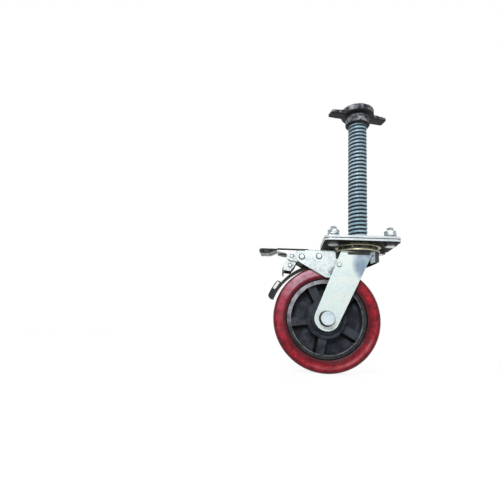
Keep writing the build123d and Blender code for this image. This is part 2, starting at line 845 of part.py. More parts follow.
def jack_nut():
    """Cast nut: hub, cup that locates the scaffold tube, and two wings."""
    bore = screw_dia / 2 + nut_bore_clear
    cup = cup_dia / 2
    cup_inner = (tube_dia + tube_clear) / 2
    hub = nut_hub_dia / 2
    cup_low = nut_top - cup_height
    edge = nut_edge
    body = turned((bore, nut_bottom), (hub - edge, nut_bottom), (hub, nut_bottom + edge), (hub, cup_low),
                  (cup - edge, cup_low), (cup, cup_low + edge), (cup, nut_top - edge),
                  (cup - edge, nut_top), (bore, nut_top))
    wing_low = cup_low - wing_drop
    tip = wing_span / 2
    wing = outline((hub - wing_root, wing_low), (tip, wing_low), (tip, wing_low + wing_tip_height),
                   (hub - wing_root, wing_low + wing_root_height))
    bar = side_prism(wing, -wing_width / 2, wing_width / 2)
    bar = fillet(bar.edges().filter_by(Axis.Z).group_by(Axis.X)[-1], wing_corner)
    for turn in (0, 180):
        body += Rot(0, 0, wing_angle + turn) * bar
    tube_seat = turned((0, nut_seat), (cup_inner, nut_seat), (cup_inner, nut_top), (0, nut_top))
    return body - tube_seat


def group(shapes):
    """Separate solids that share one node."""
    return Compound(children=list(shapes))


def export(name, shape):
    """Write one node."""
    export_step(shape, "parts/" + name + ".step")


os.makedirs("parts", exist_ok=True)

export("jack_screw", jack_screw())
export("screw_weld", screw_weld())
export("adapter_plate", adapter_plate())
export("top_plate", top_plate())
export("upper_race", upper_race())
export("race_cup", race_cup())
export("king_pin", king_pin())
export("king_pin_nut", king_pin_nut())
export("plate_bolts", group(plate_bolts()))
export("plate_washers", group(plate_washers()))
export("plate_nuts", group(plate_nuts()))
export("jack_nut", jack_nut())
export("fork", fork())
export("crown_race", crown_race())
export("upper_balls", group(ball_ring(upper_ball_dia, upper_row_radius, upper_ball_z)))
export("lower_balls", group(ball_ring(lower_ball_dia, lower_row_radius, lower_ball_z)))
export("brake_bracket", brake_bracket())
export("bracket_welds", group(bracket_welds()))
export("bracket_rivets", group(bracket_rivets()))
export("pedal_pin", pedal_pin_body())
export("blade_pin", blade_pin_body())
export("axle_bolt", axle_bolt())
export("axle_washers", group(axle_washers()))
export("axle_nut", axle_nut())
export("axle_sleeve", axle_sleeve())
export("bearing_inner_rings", group(bearing_inner_rings()))
export("bearing_balls", group(bearing_balls()))
export("wheel_core", wheel_core())
export("tyre", tyre())
export("bearing_outer_rings", group(bearing_outer_rings()))
export("brake_pedal", brake_pedal())
export("toggle_pin", toggle_pin_body())
export("toggle_link", toggle_link())
export("press_pin", press_pin_body())
export("brake_blade", brake_blade())
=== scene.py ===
from math import cos, pi, radians, sin

import bmesh
import bpy
import numpy as np
from mathutils import Matrix, Vector


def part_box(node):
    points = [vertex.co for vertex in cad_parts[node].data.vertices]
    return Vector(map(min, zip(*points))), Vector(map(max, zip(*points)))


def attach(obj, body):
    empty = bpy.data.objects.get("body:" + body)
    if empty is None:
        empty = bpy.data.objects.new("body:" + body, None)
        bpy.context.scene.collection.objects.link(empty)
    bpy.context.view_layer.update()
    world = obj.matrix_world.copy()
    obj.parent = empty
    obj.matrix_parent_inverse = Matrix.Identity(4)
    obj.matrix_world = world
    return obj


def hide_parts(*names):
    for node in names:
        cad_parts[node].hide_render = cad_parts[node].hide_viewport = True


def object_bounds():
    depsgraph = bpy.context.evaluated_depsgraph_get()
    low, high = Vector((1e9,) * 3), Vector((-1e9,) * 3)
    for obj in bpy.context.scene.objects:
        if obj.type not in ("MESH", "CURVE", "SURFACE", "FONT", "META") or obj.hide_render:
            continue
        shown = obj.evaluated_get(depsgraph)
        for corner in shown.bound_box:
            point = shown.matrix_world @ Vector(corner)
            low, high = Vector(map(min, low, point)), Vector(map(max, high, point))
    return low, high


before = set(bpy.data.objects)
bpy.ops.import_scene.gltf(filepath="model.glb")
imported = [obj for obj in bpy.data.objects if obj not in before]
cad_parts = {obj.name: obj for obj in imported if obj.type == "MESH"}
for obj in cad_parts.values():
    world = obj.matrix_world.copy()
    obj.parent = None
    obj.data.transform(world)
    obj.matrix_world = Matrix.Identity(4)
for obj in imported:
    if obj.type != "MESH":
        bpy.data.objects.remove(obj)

cad_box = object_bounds()

# The view: the camera stands close, level with the wheel and tipped slightly upwards,
# so that the plates are seen from below.
eye = Vector((-0.1362, -0.7394, -0.1715))
ahead = Vector((-0.1046, 0.9753, 0.1946)).normalized()
upward = Vector((-0.0335, -0.199, 0.9794))
right = ahead.cross(upward).normalized()
above = right.cross(ahead)
lens = bpy.data.cameras.new("camera")
lens.sensor_width = 36
lens.lens = 26.64
camera = bpy.data.objects.new("camera", lens)
camera.matrix_world = Matrix((
    (right.x, above.x, -ahead.x, eye.x),
    (right.y, above.y, -ahead.y, eye.y),
    (right.z, above.z, -ahead.z, eye.z),
    (0, 0, 0, 1)))
bpy.context.scene.collection.objects.link(camera)
bpy.context.scene.camera = camera
bpy.context.scene.view_settings.view_transform = "Standard"


# The studio: a white background and a pale floor that both look white, also in reflections,
# and light the castor like grey card; the floor keeps its shadow. The lamps are large and soft.
class Socket:
    """A shader socket's value. Arithmetic on it adds Math nodes, and node() adds any other node."""

    def __init__(self, tree, out=None):
        self.tree = tree
        self.out = out

    def node(self, kind, settings=None, inputs=None, output=0):
        """One node: its settings first, then a number, colour or Socket for each named socket."""
        made = self.tree.nodes.new("ShaderNode" + kind)
        for key, value in (settings or {}).items():
            setattr(made, key, value)
        for key, value in (inputs or {}).items():
            if isinstance(value, Socket):
                self.tree.links.new(value.out, made.inputs[key])
            else:
                made.inputs[key].default_value = value
        return Socket(self.tree, made.outputs[output])

    def maths(self, operation, first, second=0.0):
        """A Math node on one or two values."""
        return self.node("Math", {"operation": operation}, {0: first, 1: second})

    def __add__(self, other):
        return self.maths("ADD", self, other)

    def __sub__(self, other):
        return self.maths("SUBTRACT", self, other)

    def __rsub__(self, other):
        return self.maths("SUBTRACT", other, self)

    def __mul__(self, other):
        return self.maths("MULTIPLY", self, other)

    def __truediv__(self, other):
        return self.maths("DIVIDE", self, other)

    def __pow__(self, other):
        return self.maths("POWER", self, other)

    __radd__ = __add__
    __rmul__ = __mul__

    def size(self):
        """This value without its sign."""
        return self.maths("ABSOLUTE", self)

    def most(self, other):
        """The larger of two values; of two masks, where either one is."""
        return self.maths("MAXIMUM", self, other)

    def step(self, low, high):
        """0 below low, 1 above high, smooth between; low may be the larger."""
        return self.node("MapRange", {"interpolation_type": "SMOOTHSTEP"},
                         {0: self, 1: low, 2: high})

    def between(self, low, high, soft):
        """1 from low to high, fading to 0 over soft on each side."""
        return self.step(low - soft, low) * self.step(high + soft, high)

    def colour(self, low, high):
        """Colour from low to high as this value goes from 0 to 1."""
        low, high = [c if isinstance(c, Socket) else (*c, 1) for c in (low, high)]
        return self.node("Mix", {"data_type": "RGBA"}, {0: self, 6: low, 7: high}, "Result")

    def noise(self, scale, detail=3.0, roughness=0.55):
        """Cloudy value round 0.5 on this place, with scale clouds a metre."""
        return self.node("TexNoise", None, {"Vector": self, "Scale": scale, "Detail": detail,
                                            "Roughness": roughness})

    def flecks(self, scale):
        """A value of its own for each crystal on this place, with scale crystals a metre."""
        return self.node("TexVoronoi", None, {"Vector": self, "Scale": scale}, "Color").axis("X")

    def stretched(self, x, y, z):
        """This place with its axes multiplied, so that a pattern on it turns into streaks."""
        return self.node("VectorMath", {"operation": "MULTIPLY"}, {0: self, 1: (x, y, z)})

    def axis(self, name):
        """One coordinate of this place."""
        return self.node("SeparateXYZ", None, {0: self}, name)

    def from_line(self, x, z):
        """Distance of this place from a line along Y through x and z."""
        return ((self.axis("X") - x) ** 2 + (self.axis("Z") - z) ** 2) ** 0.5

    def bump(self, distance):
        """Normal of a surface raised by this height, distance metres at a height of 1."""
        return self.node("Bump", None, {"Height": self, "Distance": distance})


def white_when_seen(tree, unseen, share, strength=1.0):
    """Shader that camera, glossy and transmission rays see as white, mixed in by share;
    all other rays see the unseen shader."""
    start = Socket(tree)
    by_camera = start.node("LightPath", output="Is Camera Ray")
    by_gloss = start.node("LightPath", output="Is Glossy Ray")
    through = start.node("LightPath", output="Is Transmission Ray")
    seen = start.maths("MINIMUM", by_camera + by_gloss + through, 1.0)
    white = start.node("Emission", None, {"Color": (1, 1, 1, 1), "Strength": strength})
    return start.node("MixShader", None, {0: seen * share, 1: unseen, 2: white})


sky_tint = (0.95, 0.97, 1, 1)
sky_strength = 0.14
world = bpy.data.worlds.new("studio")
bpy.context.scene.world = world
world.use_nodes = True
world_tree = world.node_tree
sky = world_tree.nodes["Background"]
sky.inputs["Color"].default_value = sky_tint
sky.inputs["Strength"].default_value = sky_strength
sky_light = Socket(world_tree, sky.outputs[0])
world_tree.links.new(white_when_seen(world_tree, sky_light, share=1.0).out,
                     world_tree.nodes["World Output"].inputs["Surface"])

floor_half = 1.1
floor_shade = 0.6
shadow_share = 0.3
floor_glow = 1.27
floor_mesh = bpy.data.meshes.new("floor")
corners = [(x * floor_half, y * floor_half, cad_box[0].z)
           for x, y in ((-1, -1), (1, -1), (1, 1), (-1, 1))]
floor_mesh.from_pydata(corners, [], [(0, 1, 2, 3)])
floor = bpy.data.objects.new("floor", floor_mesh)
bpy.context.scene.collection.objects.link(floor)
card = bpy.data.materials.new("floor")
card.use_nodes = True
card_tree = card.node_tree
paper = card_tree.nodes["Principled BSDF"]
paper.inputs["Base Color"].default_value = (floor_shade, floor_shade, floor_shade, 1)
paper.inputs["Roughness"].default_value = 0.9
grey_paper = Socket(card_tree, paper.outputs[0])
card_tree.links.new(white_when_seen(card_tree, grey_paper, 1 - shadow_share, floor_glow).out,
                    card_tree.nodes["Material Output"].inputs["Surface"])
floor_mesh.materials.append(card)
castor_middle = Vector((-0.05, 0, 0))


def lamp(name, place, size, power):
    """Square soft lamp aimed at the castor's middle."""
    light = bpy.data.lights.new(name, "AREA")
    light.size = size
    light.energy = power
    made = bpy.data.objects.new(name, light)
    made.location = place
    made.rotation_euler = (castor_middle - Vector(place)).to_track_quat("-Z", "Y").to_euler()
    bpy.context.scene.collection.objects.link(made)


lamp("key_lamp", (-0.5, -1.85, 1.05), size=0.6, power=32)
lamp("fill_lamp", (1.6, -1.0, 0.4), size=1.2, power=2.5)
lamp("back_lamp", (0.3, 1.6, 1.3), size=1.2, power=15)


# Jack screw: a 38 mm bar with a coarse right-hand thread rolled into it, 8 mm pitch, zinc plated
# bluish white, with dark dirt and painted shade in the thread and its flanks painted slate as shade.
# Its plain foot is welded to the adapter plate.
screw_radius = 0.019
screw_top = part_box("jack_screw")[1].z
screw_pitch = 0.008
thread_depth = 0.0021
groove_half = 0.0026
thread_start = 0.008
thread_below_end = 0.004
screw_chamfer = 0.0025


def finish(name, recipe, **constants):
    """Material whose shader takes what recipe(place, normal) says, with constants on its sockets."""
    made = bpy.data.materials.new(name)
    made.use_nodes = True
    tree = made.node_tree
    shader = tree.nodes["Principled BSDF"]
    start = Socket(tree)
    place = start.node("TexCoord", output="Object")
    normal = start.node("TexCoord", output="Normal")
    for key, value in recipe(place, normal).items():
        tree.links.new(value.out, shader.inputs[key])
    for key, value in constants.items():
        shader.inputs[key.replace("_", " ")].default_value = value
    return made


def put(name, mesh, material, body, node, smooth):
    """Object of a mesh that rides on a body and stands for a node. Edges sharper than smooth
    degrees stay sharp."""
    made = bpy.data.objects.new(name, mesh)
    bpy.context.scene.collection.objects.link(made)
    mesh.shade_smooth()
    mesh.set_sharp_from_angle(angle=radians(smooth))
    mesh.materials.clear()
    mesh.materials.append(material)
    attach(made, body)
    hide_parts(node)
    return made


def skin(name, grids, ring=False):
    """Mesh of grids of points [rows, columns, 3]. Columns close on themselves; a flat cap
    closes each end, or with ring the last row joins the first."""
    points, faces, start = [], [], 0
    for grid in grids:
        rows, columns = grid.shape[:2]
        index = start + np.arange(rows * columns).reshape(rows, columns)
        if ring:
            index = np.vstack([index, index[:1]])
        side = np.roll(index, -1, axis=1)
        quads = np.stack([index[:-1], side[:-1], side[1:], index[1:]], -1).reshape(-1, 4)
        faces += quads.tolist()
        if not ring:
            faces += [index[0][::-1].tolist(), index[-1].tolist()]
        points.append(grid.reshape(-1, 3))
        start += rows * columns
    mesh = bpy.data.meshes.new(name)
    mesh.from_pydata(np.concatenate(points).tolist(), [], faces)
    mesh.update()
    return mesh


def swept(radii, heights, count):
    """Grid of a profile turned about Z: x = r cos a, y = r sin a, z = h. radii is [rows] or
    [rows, columns], heights likewise."""
    angle = np.linspace(0, 2 * pi, count, endpoint=False)
    radii = np.broadcast_to(np.asarray(radii, float).reshape(len(radii), -1), (len(radii), count))
    heights = np.broadcast_to(np.asarray(heights, float).reshape(len(radii), -1), radii.shape)
    return np.stack([radii * np.cos(angle), radii * np.sin(angle), heights], -1)


def thread_drop(height, angle, pitch, half, depth, root):
    """How far a rolled thread lies below its crest. A V groove of half width half runs along a
    right-hand helix whose middle is where height / pitch - angle / turn is whole:
    drop = depth (1 - sqrt(d^2 + root^2) / half), at least 0, d the distance to that middle."""
    phase = height / pitch - angle / (2 * pi)
    distance = (phase - np.round(phase)) * pitch
    return depth * np.clip(1 - np.sqrt(distance ** 2 + root ** 2) / half, 0, None)


def threaded_rod(radius, low, high, pitch, half, depth, count, per_pitch, chamfer,
                 start=0.0, end=0.0):
    """Grid of a bar on Z: r = radius - drop of the thread, which fades in above start and out
    below end, each over half; the top is cut by a cone, r = radius - chamfer + depth below it."""
    rows = int((high - low) / pitch * per_pitch) + 1
    root = half * 0.15
    heights = np.linspace(low, high, rows)[:, None]
    angle = np.linspace(0, 2 * pi, count, endpoint=False)[None]
    fade_in = np.clip((heights - low - start) / half, 0, 1)
    fade_out = np.clip((high - end - heights) / half, 0, 1)
    radii = radius - fade_in * fade_out * thread_drop(heights, angle, pitch, half, depth, root)
    cone = radius - chamfer + (high - heights)
    return swept(np.minimum(radii, cone), np.broadcast_to(heights, radii.shape), count)


def zinc_recipe(light, dull, dirt_and_shade_colour, crystals, marks=None, tint=None, metallic=0.4, rough=0.46):
    """Zinc plating: pale metal clouded by handling, with fine crystals. marks(place, normal) says
    where dirt and painted shade darken it, and tint(place, colour) colours it."""
    def recipe(place, normal):
        cloud = place.noise(38, 4)
        fine = place.noise(420, 3)
        fleck = place.flecks(crystals)
        shade = (cloud * 0.5 + fine * 0.3 + fleck * 0.2).step(0.32, 0.68)
        metal = shade.colour(dull, light)
        if tint:
            metal = tint(place, metal)
        dirt_and_shade = place.noise(95, 5, 0.65).step(0.64, 0.73) * 0.35
        if marks:
            dirt_and_shade = dirt_and_shade.most(marks(place, normal))
        return {"Base Color": dirt_and_shade.colour(metal, dirt_and_shade_colour),
                "Metallic": (1 - dirt_and_shade) * metallic,
                "Roughness": shade * -0.13 + dirt_and_shade * 0.35 + rough,
                "Normal": (fine * 0.5 + fleck * 0.5).bump(0.00006)}
    return recipe


def thread_depth_at(place, shallow, deep):
    """0 above the shallow share of the thread's depth, 1 below the deep share."""
    from_axis = (place.axis("X") ** 2 + place.axis("Y") ** 2) ** 0.5
    return from_axis.step(screw_radius - thread_depth * shallow, screw_radius - thread_depth * deep)


def thread_dirt_and_shade(place, normal):
    """Dirt and painted shade in the thread's groove, thicker in some turns than in others."""
    return thread_depth_at(place, 0.12, 0.42) * (place.noise(60).step(0.2, 0.5) * 0.15 + 0.85)


def thread_flank_shade(place, metal):
    """Painted shade: the plating darkened to slate on the thread's flanks."""
    return (thread_depth_at(place, 0.02, 0.2) * 0.8).colour(metal, (0.10, 0.17, 0.20))


screw_zinc = finish("screw_zinc", zinc_recipe(
    light=(0.54, 0.76, 0.88), dull=(0.18, 0.30, 0.38), dirt_and_shade_colour=(0.004, 0.009, 0.013), crystals=900,
    marks=thread_dirt_and_shade, tint=thread_flank_shade, metallic=0.0, rough=0.34), Specular_IOR_Level=0.35)
screw_grid = threaded_rod(
    screw_radius, 0, screw_top, screw_pitch, groove_half, thread_depth,
    count=64, per_pitch=16, chamfer=screw_chamfer,
    start=thread_start - groove_half, end=thread_below_end - groove_half)
put("threaded_screw", skin("threaded_screw", [screw_grid]),
    screw_zinc, "stem", "jack_screw", smooth=60)


# Weld at the screw's foot: one fillet bead laid round the bar by hand, so that it shows
# the ripples of the arc; bare steel under a thin zinc wash.
weld_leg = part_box("screw_weld")[1].z
weld_overlap = 0.0006


def weld_bead(radius, leg, low, ripples, count, swell=0.12):
    """Grid of a fillet bead round Z: a quarter-round profile of size leg, which swells by
    |sin| of the angle at each ripple and leans along the weld like a chevron."""
    angle = np.linspace(0, 2 * pi, count, endpoint=False)[None]
    turn = np.linspace(0, pi / 2, 7)[:, None]
    uneven = sum(np.sin(angle * k + 3 * k) for k in (2, 3, 5)) * 0.03
    ridge = np.abs(np.sin(angle * ripples / 2 + turn * 0.9)) * swell
    size = leg * (0.9 + uneven + ridge * np.sin(turn * 2))
    inner = np.full((1, count), radius - leg / 2)
    top = np.full((1, count), low + leg * 0.9)
    foot = np.full((1, count), low)
    radii = np.vstack([inner, radius + size * np.sin(turn), inner])
    heights = np.vstack([top, low + size * np.cos(turn), foot])
    return np.stack([radii * np.cos(angle), radii * np.sin(angle), heights], -1)[::-1]


def weld_recipe(place, normal):
    """Weld metal: silver clouded with grey, and brown-black soot in patches."""
    cloud = place.noise(120, 4)
    soot = place.noise(330, 4).step(0.50, 0.62)
    metal = cloud.step(0.35, 0.65).colour((0.42, 0.44, 0.44), (0.80, 0.84, 0.86))
    return {"Base Color": soot.colour(metal, (0.05, 0.045, 0.04)),
            "Metallic": soot * -0.4 + 0.5,
            "Roughness": soot * 0.3 + 0.38,
            "Normal": place.noise(700, 3).bump(0.00012)}


weld_metal = finish("weld_metal", weld_recipe)
bead_grid = weld_bead(screw_radius - weld_overlap, weld_leg, 0.0, ripples=46, count=230)
put("foot_weld", skin("foot_weld", [bead_grid]),
    weld_metal, "stem", "screw_weld", smooth=70)


# Adapter plate and castor plate: two 5 mm plates with round corners, bolted face to face.
# Their tops and edges are bright zinc; below, old grease and painted shade make them almost black.
plates_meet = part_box("adapter_plate")[0].z
plate_low = 2 * plates_meet
seam_half = 0.0011


def dressed(node, material, body, edge, smooth=35):
    """Copy of a CAD node that stands for it, its edges rounded by a bevel of width edge."""
    work = bmesh.new()
    work.from_mesh(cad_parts[node].data)
    bmesh.ops.remove_doubles(work, verts=work.verts, dist=1e-6)
    bmesh.ops.dissolve_limit(work, angle_limit=radians(0.4), verts=work.verts, edges=work.edges)
    mesh = bpy.data.meshes.new(node + "_piece")
    work.to_mesh(mesh)
    work.free()
    made = put(mesh.name, mesh, material, body, node, smooth=smooth)
    if edge:
        rounded = made.modifiers.new("edges", "BEVEL")
        rounded.width = edge
        rounded.segments = 2
        rounded.limit_method = "ANGLE"
        rounded.angle_limit = radians(smooth)
        rounded.harden_normals = True


def plate_grease_and_shade(place, normal):
    """Grease and painted shade on faces that look down, and a dark line where the two plates meet.
    """
    below = normal.axis("Z").step(-0.3, -0.7)
    seam = (place.axis("Z") - plates_meet).size().step(seam_half, seam_half * 0.4)
    return below.most(seam)


plate_zinc = finish("plate_zinc", zinc_recipe(
    light=(0.80, 0.86, 0.88), dull=(0.50, 0.57, 0.61), dirt_and_shade_colour=(0.008, 0.008, 0.009), crystals=700,
    marks=plate_grease_and_shade), Specular_IOR_Level=0.25)
dressed("adapter_plate", plate_zinc, "stem", edge=0.0007)
dressed("top_plate", plate_zinc, "stem", edge=0.0007)


# Plate bolts, nuts and washers: four zinc hexagon sets, heads below, thread ends standing
# out of the nuts above. The hexagons are turned blanks whose corners are chamfered off.
def hex_radius(angle, across):
    """Radius of a hexagon at an angle: half of across / cos of the angle from the nearest flat."""
    from_flat = (angle + pi / 6) % (pi / 3) - pi / 6
    return across / 2 / np.cos(from_flat)


def hex_grid(across, low, high, bore=0.0, domed=(True, True), count=72):
    """Grid of a hexagon block on Z whose corners are cut by a cone at the domed ends:
    r = the least of the hexagon and face radius + slope x depth. With a bore it is a closed ring."""
    angle = np.linspace(0, 2 * pi, count, endpoint=False)[None]
    slope = 1.9
    face = across * 0.475
    depths = np.array([0, 0, 0.0006, 0.0012, 0.002])
    heights = np.concatenate([low + depths, high - depths[::-1]])[:, None]
    cone_low = face + slope * (heights - low) if domed[0] else across
    cone_high = face + slope * (high - heights) if domed[1] else across
    radii = np.minimum(hex_radius(angle, across), np.minimum(cone_low, cone_high))
    radii = np.broadcast_to(radii, (len(heights), count)).copy()
    radii[[0, -1]] = bore or across * 0.02
    heights = np.broadcast_to(heights, radii.shape)
    return np.stack([radii * np.cos(angle), radii * np.sin(angle), heights], -1)


def ring_grid(inner, outer, low, high, edge=0.0003, count=48):
    """Grid of a flat ring on Z with small round edges, closed on itself in both directions."""
    radii = [inner, outer - edge, outer, outer, outer - edge, inner]
    heights = [low, low, low + edge, high - edge, high, high]
    return swept(radii, heights, count)


washer_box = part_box("plate_washers")
bolt_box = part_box("plate_bolts")
nut_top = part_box("plate_nuts")[1].z
washer_top = washer_box[1].z
bolt_radius = 0.006
washer_radius = 2 * bolt_radius
bolt_x = washer_box[1].x - washer_radius
bolt_y = washer_box[1].y - washer_radius
bolt_across = 0.019
bolt_pitch = 0.00175
bolt_thread_depth = 0.0009
bolt_chamfer = 0.0012
nut_bore = bolt_radius * 0.96


def at_bolts(grid):
    """The grid at the four plate holes, each turned a little on its own."""
    made = []
    for number, (x, y) in enumerate(((-1, -1), (1, -1), (-1, 1), (1, 1))):
        turn = 0.4 + 0.9 * number
        spin = np.array([[cos(turn), sin(turn), 0], [-sin(turn), cos(turn), 0], [0, 0, 1]])
        made.append(grid @ spin + np.array([x * bolt_x, y * bolt_y, 0]))
    return made


def bolt_grease_and_shade(place, normal):
    """Grease and painted shade on the sides of the heads below the plate, and dirt and painted shade
    in patches on the thread's sides above the nut.
    """
    side = normal.axis("Z").size().step(0.8, 0.5)
    low = place.axis("Z").step(plate_low + 0.0005, plate_low - 0.0005)
    high = place.axis("Z").step(nut_top - 0.0005, nut_top + 0.0005)
    thread = high * place.noise(300, 3).step(0.3, 0.5)
    return (side * low * 0.96).most(side * thread * 0.85)


def nut_marks(place, normal):
    """Darker in the corners between nut and washer, and dirt in broken patches over both."""
    foot = place.axis("Z").step(washer_top + 0.0016, washer_top + 0.0004)
    patches = place.noise(230, 4, 0.65).step(0.50, 0.60)
    return (foot * 0.85).most(patches * 0.75) * normal.axis("Z").step(0.85, 0.5)


nut_zinc = finish("nut_zinc", zinc_recipe(
    light=(0.74, 0.79, 0.81), dull=(0.30, 0.35, 0.38), dirt_and_shade_colour=(0.05, 0.05, 0.05), crystals=1500,
    marks=nut_marks))
# The bolts' zinc is paler than the nuts': a painted highlight, so that the heads' ends below the
# plate look lit.
bolt_zinc_highlit = finish("bolt_zinc_highlit", zinc_recipe(
    light=(0.95, 0.97, 0.97), dull=(0.72, 0.77, 0.78), dirt_and_shade_colour=(0.02, 0.02, 0.02), crystals=1500,
    marks=bolt_grease_and_shade))
heads = at_bolts(hex_grid(bolt_across, bolt_box[0].z, plate_low, domed=(True, False)))
rods = at_bolts(threaded_rod(
    bolt_radius, plate_low, bolt_box[1].z, bolt_pitch, bolt_pitch * 0.45, bolt_thread_depth,
    count=32, per_pitch=10, chamfer=bolt_chamfer))
nuts = at_bolts(hex_grid(bolt_across, washer_top, nut_top, nut_bore))
washers = at_bolts(ring_grid(bolt_radius, washer_radius, 0, washer_top))
put("hex_bolts", skin("hex_bolts", heads + rods),
    bolt_zinc_highlit, "stem", "plate_bolts", smooth=32)
put("hex_nuts", skin("hex_nuts", nuts, ring=True),
    nut_zinc, "stem", "plate_nuts", smooth=32)
put("flat_washers", skin("flat_washers", washers, ring=True),
    nut_zinc, "stem", "plate_washers", smooth=32)


# Ball races: hardened rings with a golden passivated coat, dark with grease and painted shade
# but for a bright band at their lips, a painted highlight, and the steel balls between them.
def race_recipe(lip):
    """Golden passivation under grease and painted shade, bright where wiped and in a thin band at
    the height lip, which is a painted highlight.
    """
    def recipe(place, normal):
        cloud = place.noise(70, 4)
        gold = cloud.step(0.35, 0.65).colour((0.42, 0.41, 0.26), (0.78, 0.76, 0.56))
        band = (place.axis("Z") - lip).size().step(0.0013, 0.0006)
        smear = place.noise(130, 5, 0.65).step(0.60, 0.50) * 0.2
        wiped_and_lit = band.most(smear)
        return {"Base Color": wiped_and_lit.colour((0.022, 0.02, 0.013), gold),
                "Metallic": wiped_and_lit * 0.45,
                "Roughness": wiped_and_lit * -0.15 + 0.5,
                "Normal": place.noise(500, 2).bump(0.00004)}
    return recipe


upper_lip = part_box("upper_race")[0].z
crown_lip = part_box("crown_race")[0].z + 0.001
upper_gold = finish("upper_gold", race_recipe(upper_lip), Specular_IOR_Level=0.3)
crown_gold = finish("crown_gold", race_recipe(crown_lip), Specular_IOR_Level=0.3)
dressed("upper_race", upper_gold, "stem", edge=0.0004, smooth=30)
dressed("crown_race", crown_gold, "fork", edge=0.0004, smooth=30)
dressed("race_cup", crown_gold, "stem", edge=0.0004, smooth=30)


def ball_recipe(place, normal):
    """Polished steel in a film of brown grease."""
    film = place.noise(160, 3).step(0.35, 0.5)
    return {"Base Color": film.colour((0.5, 0.5, 0.5), (0.03, 0.027, 0.02)),
            "Metallic": film * -0.5 + 0.9,
            "Roughness": film * 0.2 + 0.15}


ball_steel = finish("ball_steel", ball_recipe)


def ball_row(name, node, radius, count, diameter):
    """Full ring of smooth balls round Z at the node's middle height: each a profile
    r = R sin t, z = -R cos t turned about Z and moved out along its own direction."""
    low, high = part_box(node)
    level = np.full(count, (low.z + high.z) / 2)
    turn = np.linspace(0.12, pi - 0.12, 8)
    ball = swept(diameter / 2 * np.sin(turn), -diameter / 2 * np.cos(turn), 12)
    ways = 2 * pi * np.arange(count) / count
    middles = np.stack([radius * np.cos(ways), radius * np.sin(ways), level], -1)
    put(name, skin(name, [ball + middle for middle in middles]), ball_steel, "fork", node,
        smooth=80)


ball_row("upper_ball_row", "upper_balls", radius=0.034, count=25, diameter=0.0079)
ball_row("lower_ball_row", "lower_balls", radius=0.020, count=17, diameter=0.0069)


# King pin: the turned steel pin on which the fork swivels, blackened and oiled, with a nut at
# its foot that closes the races.
def dark_recipe(place, normal):
    """Blackened steel with a little rust bloom."""
    rust = place.noise(150, 5, 0.65).step(0.60, 0.70) * 0.6
    steel = place.noise(60, 3).step(0.3, 0.7).colour((0.03, 0.031, 0.034), (0.08, 0.08, 0.085))
    return {"Base Color": rust.colour(steel, (0.13, 0.06, 0.03)),
            "Metallic": rust * -0.5 + 0.6,
            "Roughness": rust * 0.25 + 0.45,
            "Normal": place.noise(600, 3).bump(0.00008)}


dark_steel = finish("dark_steel", dark_recipe)
dressed("king_pin", dark_steel, "stem", edge=0.0005)
dressed("king_pin_nut", dark_steel, "stem", edge=0.0005)


# Jack nut: a rough sand casting, painted black, with a cup for the tube and two flat wings.
# Its paint is rubbed and dusty wherever hands reach it, and black below; the rubbed pale patches
# on faces that do not look down are partly a painted highlight.
def lumps(points, size, seed, waves=24):
    """Uneven height round 0 at each point: the mean of plane waves in random directions
    whose wavelengths lie round size."""
    draw = np.random.default_rng(seed)
    directions = draw.normal(size=(waves, 3))
    directions /= np.linalg.norm(directions, axis=1)[:, None]
    rates = 2 * pi / (size * draw.uniform(0.7, 1.6, waves))
    phases = draw.uniform(0, 2 * pi, waves)
    return np.sin(points @ (directions * rates[:, None]).T + phases).sum(1) / waves ** 0.5


def cast_mesh(node, name, voxel, soften, rough):
    """A node remade as a casting: voxel remesh, corners softened, skin made uneven by rough."""
    blank = bpy.data.objects.new(name + "_blank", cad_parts[node].data.copy())
    bpy.context.scene.collection.objects.link(blank)
    weld = blank.modifiers.new("join", "WELD")
    weld.merge_threshold = 1e-6
    remesh = blank.modifiers.new("voxels", "REMESH")
    remesh.mode = "VOXEL"
    remesh.voxel_size = voxel
    smooth = blank.modifiers.new("soften", "SMOOTH")
    smooth.iterations = soften
    graph = bpy.context.evaluated_depsgraph_get()
    mesh = bpy.data.meshes.new_from_object(blank.evaluated_get(graph))
    mesh.name = name
    spare = blank.data
    bpy.data.objects.remove(blank)
    bpy.data.meshes.remove(spare)
    count = len(mesh.vertices)
    points = np.empty(count * 3)
    normals = np.empty(count * 3)
    mesh.vertices.foreach_get("co", points)
    mesh.vertex_normals.foreach_get("vector", normals)
    points = points.reshape(-1, 3)
    uneven = lumps(points, size=0.009, seed=1) + 0.5 * lumps(points, size=0.004, seed=2)
    points += normals.reshape(-1, 3) * uneven[:, None] * rough
    mesh.vertices.foreach_set("co", points.ravel())
    mesh.update()
    return mesh


def cast_recipe(place, normal):
    """Black paint over sand-cast iron: pitted, and worn to bare grey metal in patches on faces that
    do not look down; those pale patches are partly a painted highlight."""
    pits = place.noise(300, 4, 0.6)
    grain = place.noise(900, 3, 0.6)
    lit_side = normal.axis("Z").step(-0.45, -0.05)
    worn_and_lit = place.noise(170, 5, 0.7).step(0.44, 0.60) * lit_side
    scraped_highlight = place.noise(75, 5, 0.7).step(0.44, 0.68) * lit_side
    paint = worn_and_lit.colour((0.006, 0.006, 0.008), (0.12, 0.125, 0.14))
    return {"Base Color": scraped_highlight.colour(paint, (0.32, 0.33, 0.37)),
            "Roughness": pits * 0.3 + 0.32,
            "Metallic": scraped_highlight * 0.3 + 0.1,
            "Normal": (pits * 0.7 + grain * 0.3).bump(0.0007)}


cast_paint = finish("cast_paint", cast_recipe, Specular_IOR_Level=0.25)
casting = cast_mesh("jack_nut", "cast_wing_nut", voxel=0.0011, soften=3, rough=0.00018)
put("cast_wing_nut", casting, cast_paint, "jack_nut", "jack_nut", smooth=180)


